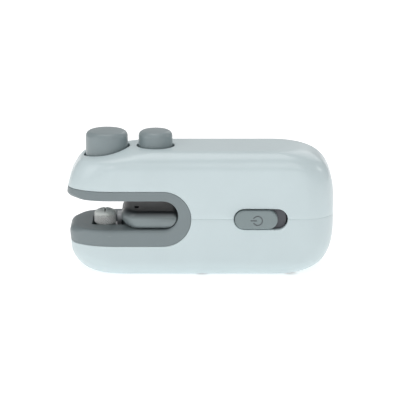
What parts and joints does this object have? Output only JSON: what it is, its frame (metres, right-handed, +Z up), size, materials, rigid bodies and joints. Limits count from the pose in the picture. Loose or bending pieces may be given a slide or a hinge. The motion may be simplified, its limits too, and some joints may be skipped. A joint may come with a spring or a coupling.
{
  "type": "mini bag closer",
  "caption": "Palm-sized bag closer: rounded split casing with an open throat, a rocking needle arm with a knurled clamp nut, two push buttons on top and a slide switch on the front.",
  "frame": {"origin": "centre of the surface that the object stands on, under the middle of its box", "axes": "+X from the open throat to the closed end, -Y is the front with the slide switch, +Z up"},
  "size_m": [0.12, 0.0392, 0.064],
  "materials": {
    "shell_white": "satin moulded, near white",
    "grip_grey": "fine satin, mid grey",
    "button_grey": "fine satin, mid grey",
    "switch_grey": "satin, mid grey",
    "nickel": "nickel plated, satin",
    "plated_steel": "zinc plated",
    "spring_steel": "drawn wire",
    "brass": "turned",
    "nylon": "natural white",
    "circuit_board": "green solder mask",
    "black_plastic": "moulded",
    "cell_wrap": "shrink wrap"
  },
  "bodies": {
    "housing": {"upper_shell": "shell_white", "lower_shell": "shell_white", "throat_liner": "grip_grey", "base_mat": "grip_grey", "large_button_spring": "spring_steel", "small_button_spring": "spring_steel", "button_board": "circuit_board", "run_switch": "black_plastic", "jog_switch": "black_plastic", "switch_body": "black_plastic", "main_board": "circuit_board", "arm_pivot_pin": "plated_steel", "pivot_bracket": "plated_steel", "gear_plate": "plated_steel", "rear_plate": "plated_steel", "plate_spacer_1": "plated_steel", "plate_spacer_2": "plated_steel", "plate_spacer_3": "plated_steel", "motor_can": "plated_steel", "idler_axle": "nickel", "looper_guide_left": "nylon", "looper_guide_right": "nylon", "tension_post": "nickel", "tension_disc_front": "nickel", "tension_disc_back": "nickel", "tension_spring": "spring_steel", "battery_cell": "cell_wrap", "cell_contact_left": "nickel", "cell_contact_right": "nickel", "charge_board": "circuit_board", "charge_socket": "nickel", "case_screw_1": "plated_steel", "case_screw_2": "plated_steel", "case_screw_3": "plated_steel", "case_screw_4": "plated_steel"},
    "large_button": {"large_button": "button_grey"},
    "small_button": {"small_button": "button_grey"},
    "power_slide": {"power_slide": "switch_grey", "switch_lever": "black_plastic"},
    "needle_arm": {"needle_arm": "plated_steel", "arm_shroud": "grip_grey", "arm_bush": "brass", "needle_collet": "nickel", "needle": "nickel"},
    "clamp_nut": {"clamp_nut": "nickel"},
    "motor_rotor": {"motor_shaft": "nickel", "motor_pinion": "brass"},
    "idler": {"idler_gear": "nylon"},
    "crank": {"crank_gear": "nylon", "crank_shaft": "nickel"},
    "looper": {"looper_bar": "nickel"}
  },
  "joints": [
    {"name": "large_button_press", "type": "slide", "parent": "housing", "child": "large_button", "axis": [0, 0, -1], "range_m": [0, 0.002], "stiffness_N_per_m": 600, "springref_m": -0.002, "deforming": ["large_button_spring"]},
    {"name": "small_button_press", "type": "slide", "parent": "housing", "child": "small_button", "axis": [0, 0, -1], "range_m": [0, 0.0015], "stiffness_N_per_m": 600, "springref_m": -0.002, "deforming": ["small_button_spring"]},
    {"name": "power_slide_move", "type": "slide", "parent": "housing", "child": "power_slide", "axis": [1, 0, 0], "range_m": [0, 0.0038]},
    {"name": "arm_rock", "type": "hinge", "parent": "housing", "child": "needle_arm", "pos_m": [0.003, 0.00065, 0.02725], "axis": [0, 1, 0], "range_deg": [0, 6]},
    {"name": "clamp_nut_turn", "type": "hinge", "parent": "needle_arm", "child": "clamp_nut", "pos_m": [-0.0431, 0.00065, 0.0237], "axis": [0, 0, 1], "continuous": true},
    {"name": "crank_turn", "type": "hinge", "parent": "housing", "child": "crank", "pos_m": [0.017, 0.00065, 0.02725], "axis": [0, 1, 0], "continuous": true},
    {"name": "idler_turn", "type": "hinge", "parent": "housing", "child": "idler", "pos_m": [0.02456, 0.00065, 0.03316], "axis": [0, 1, 0], "continuous": true},
    {"name": "motor_turn", "type": "hinge", "parent": "housing", "child": "motor_rotor", "pos_m": [0.03327, 0.00065, 0.03722], "axis": [0, 1, 0], "continuous": true},
    {"name": "looper_slide", "type": "slide", "parent": "housing", "child": "looper", "axis": [-1, 0, 0], "range_m": [0, 0.002]}
  ],
  "couplings": [
    {"joint": "idler_turn", "follows": "crank_turn", "ratio": -3},
    {"joint": "motor_turn", "follows": "crank_turn", "ratio": 9},
    {"joint": "looper_slide", "follows": "arm_rock", "m_per_rad": 0.01895}
  ]
}
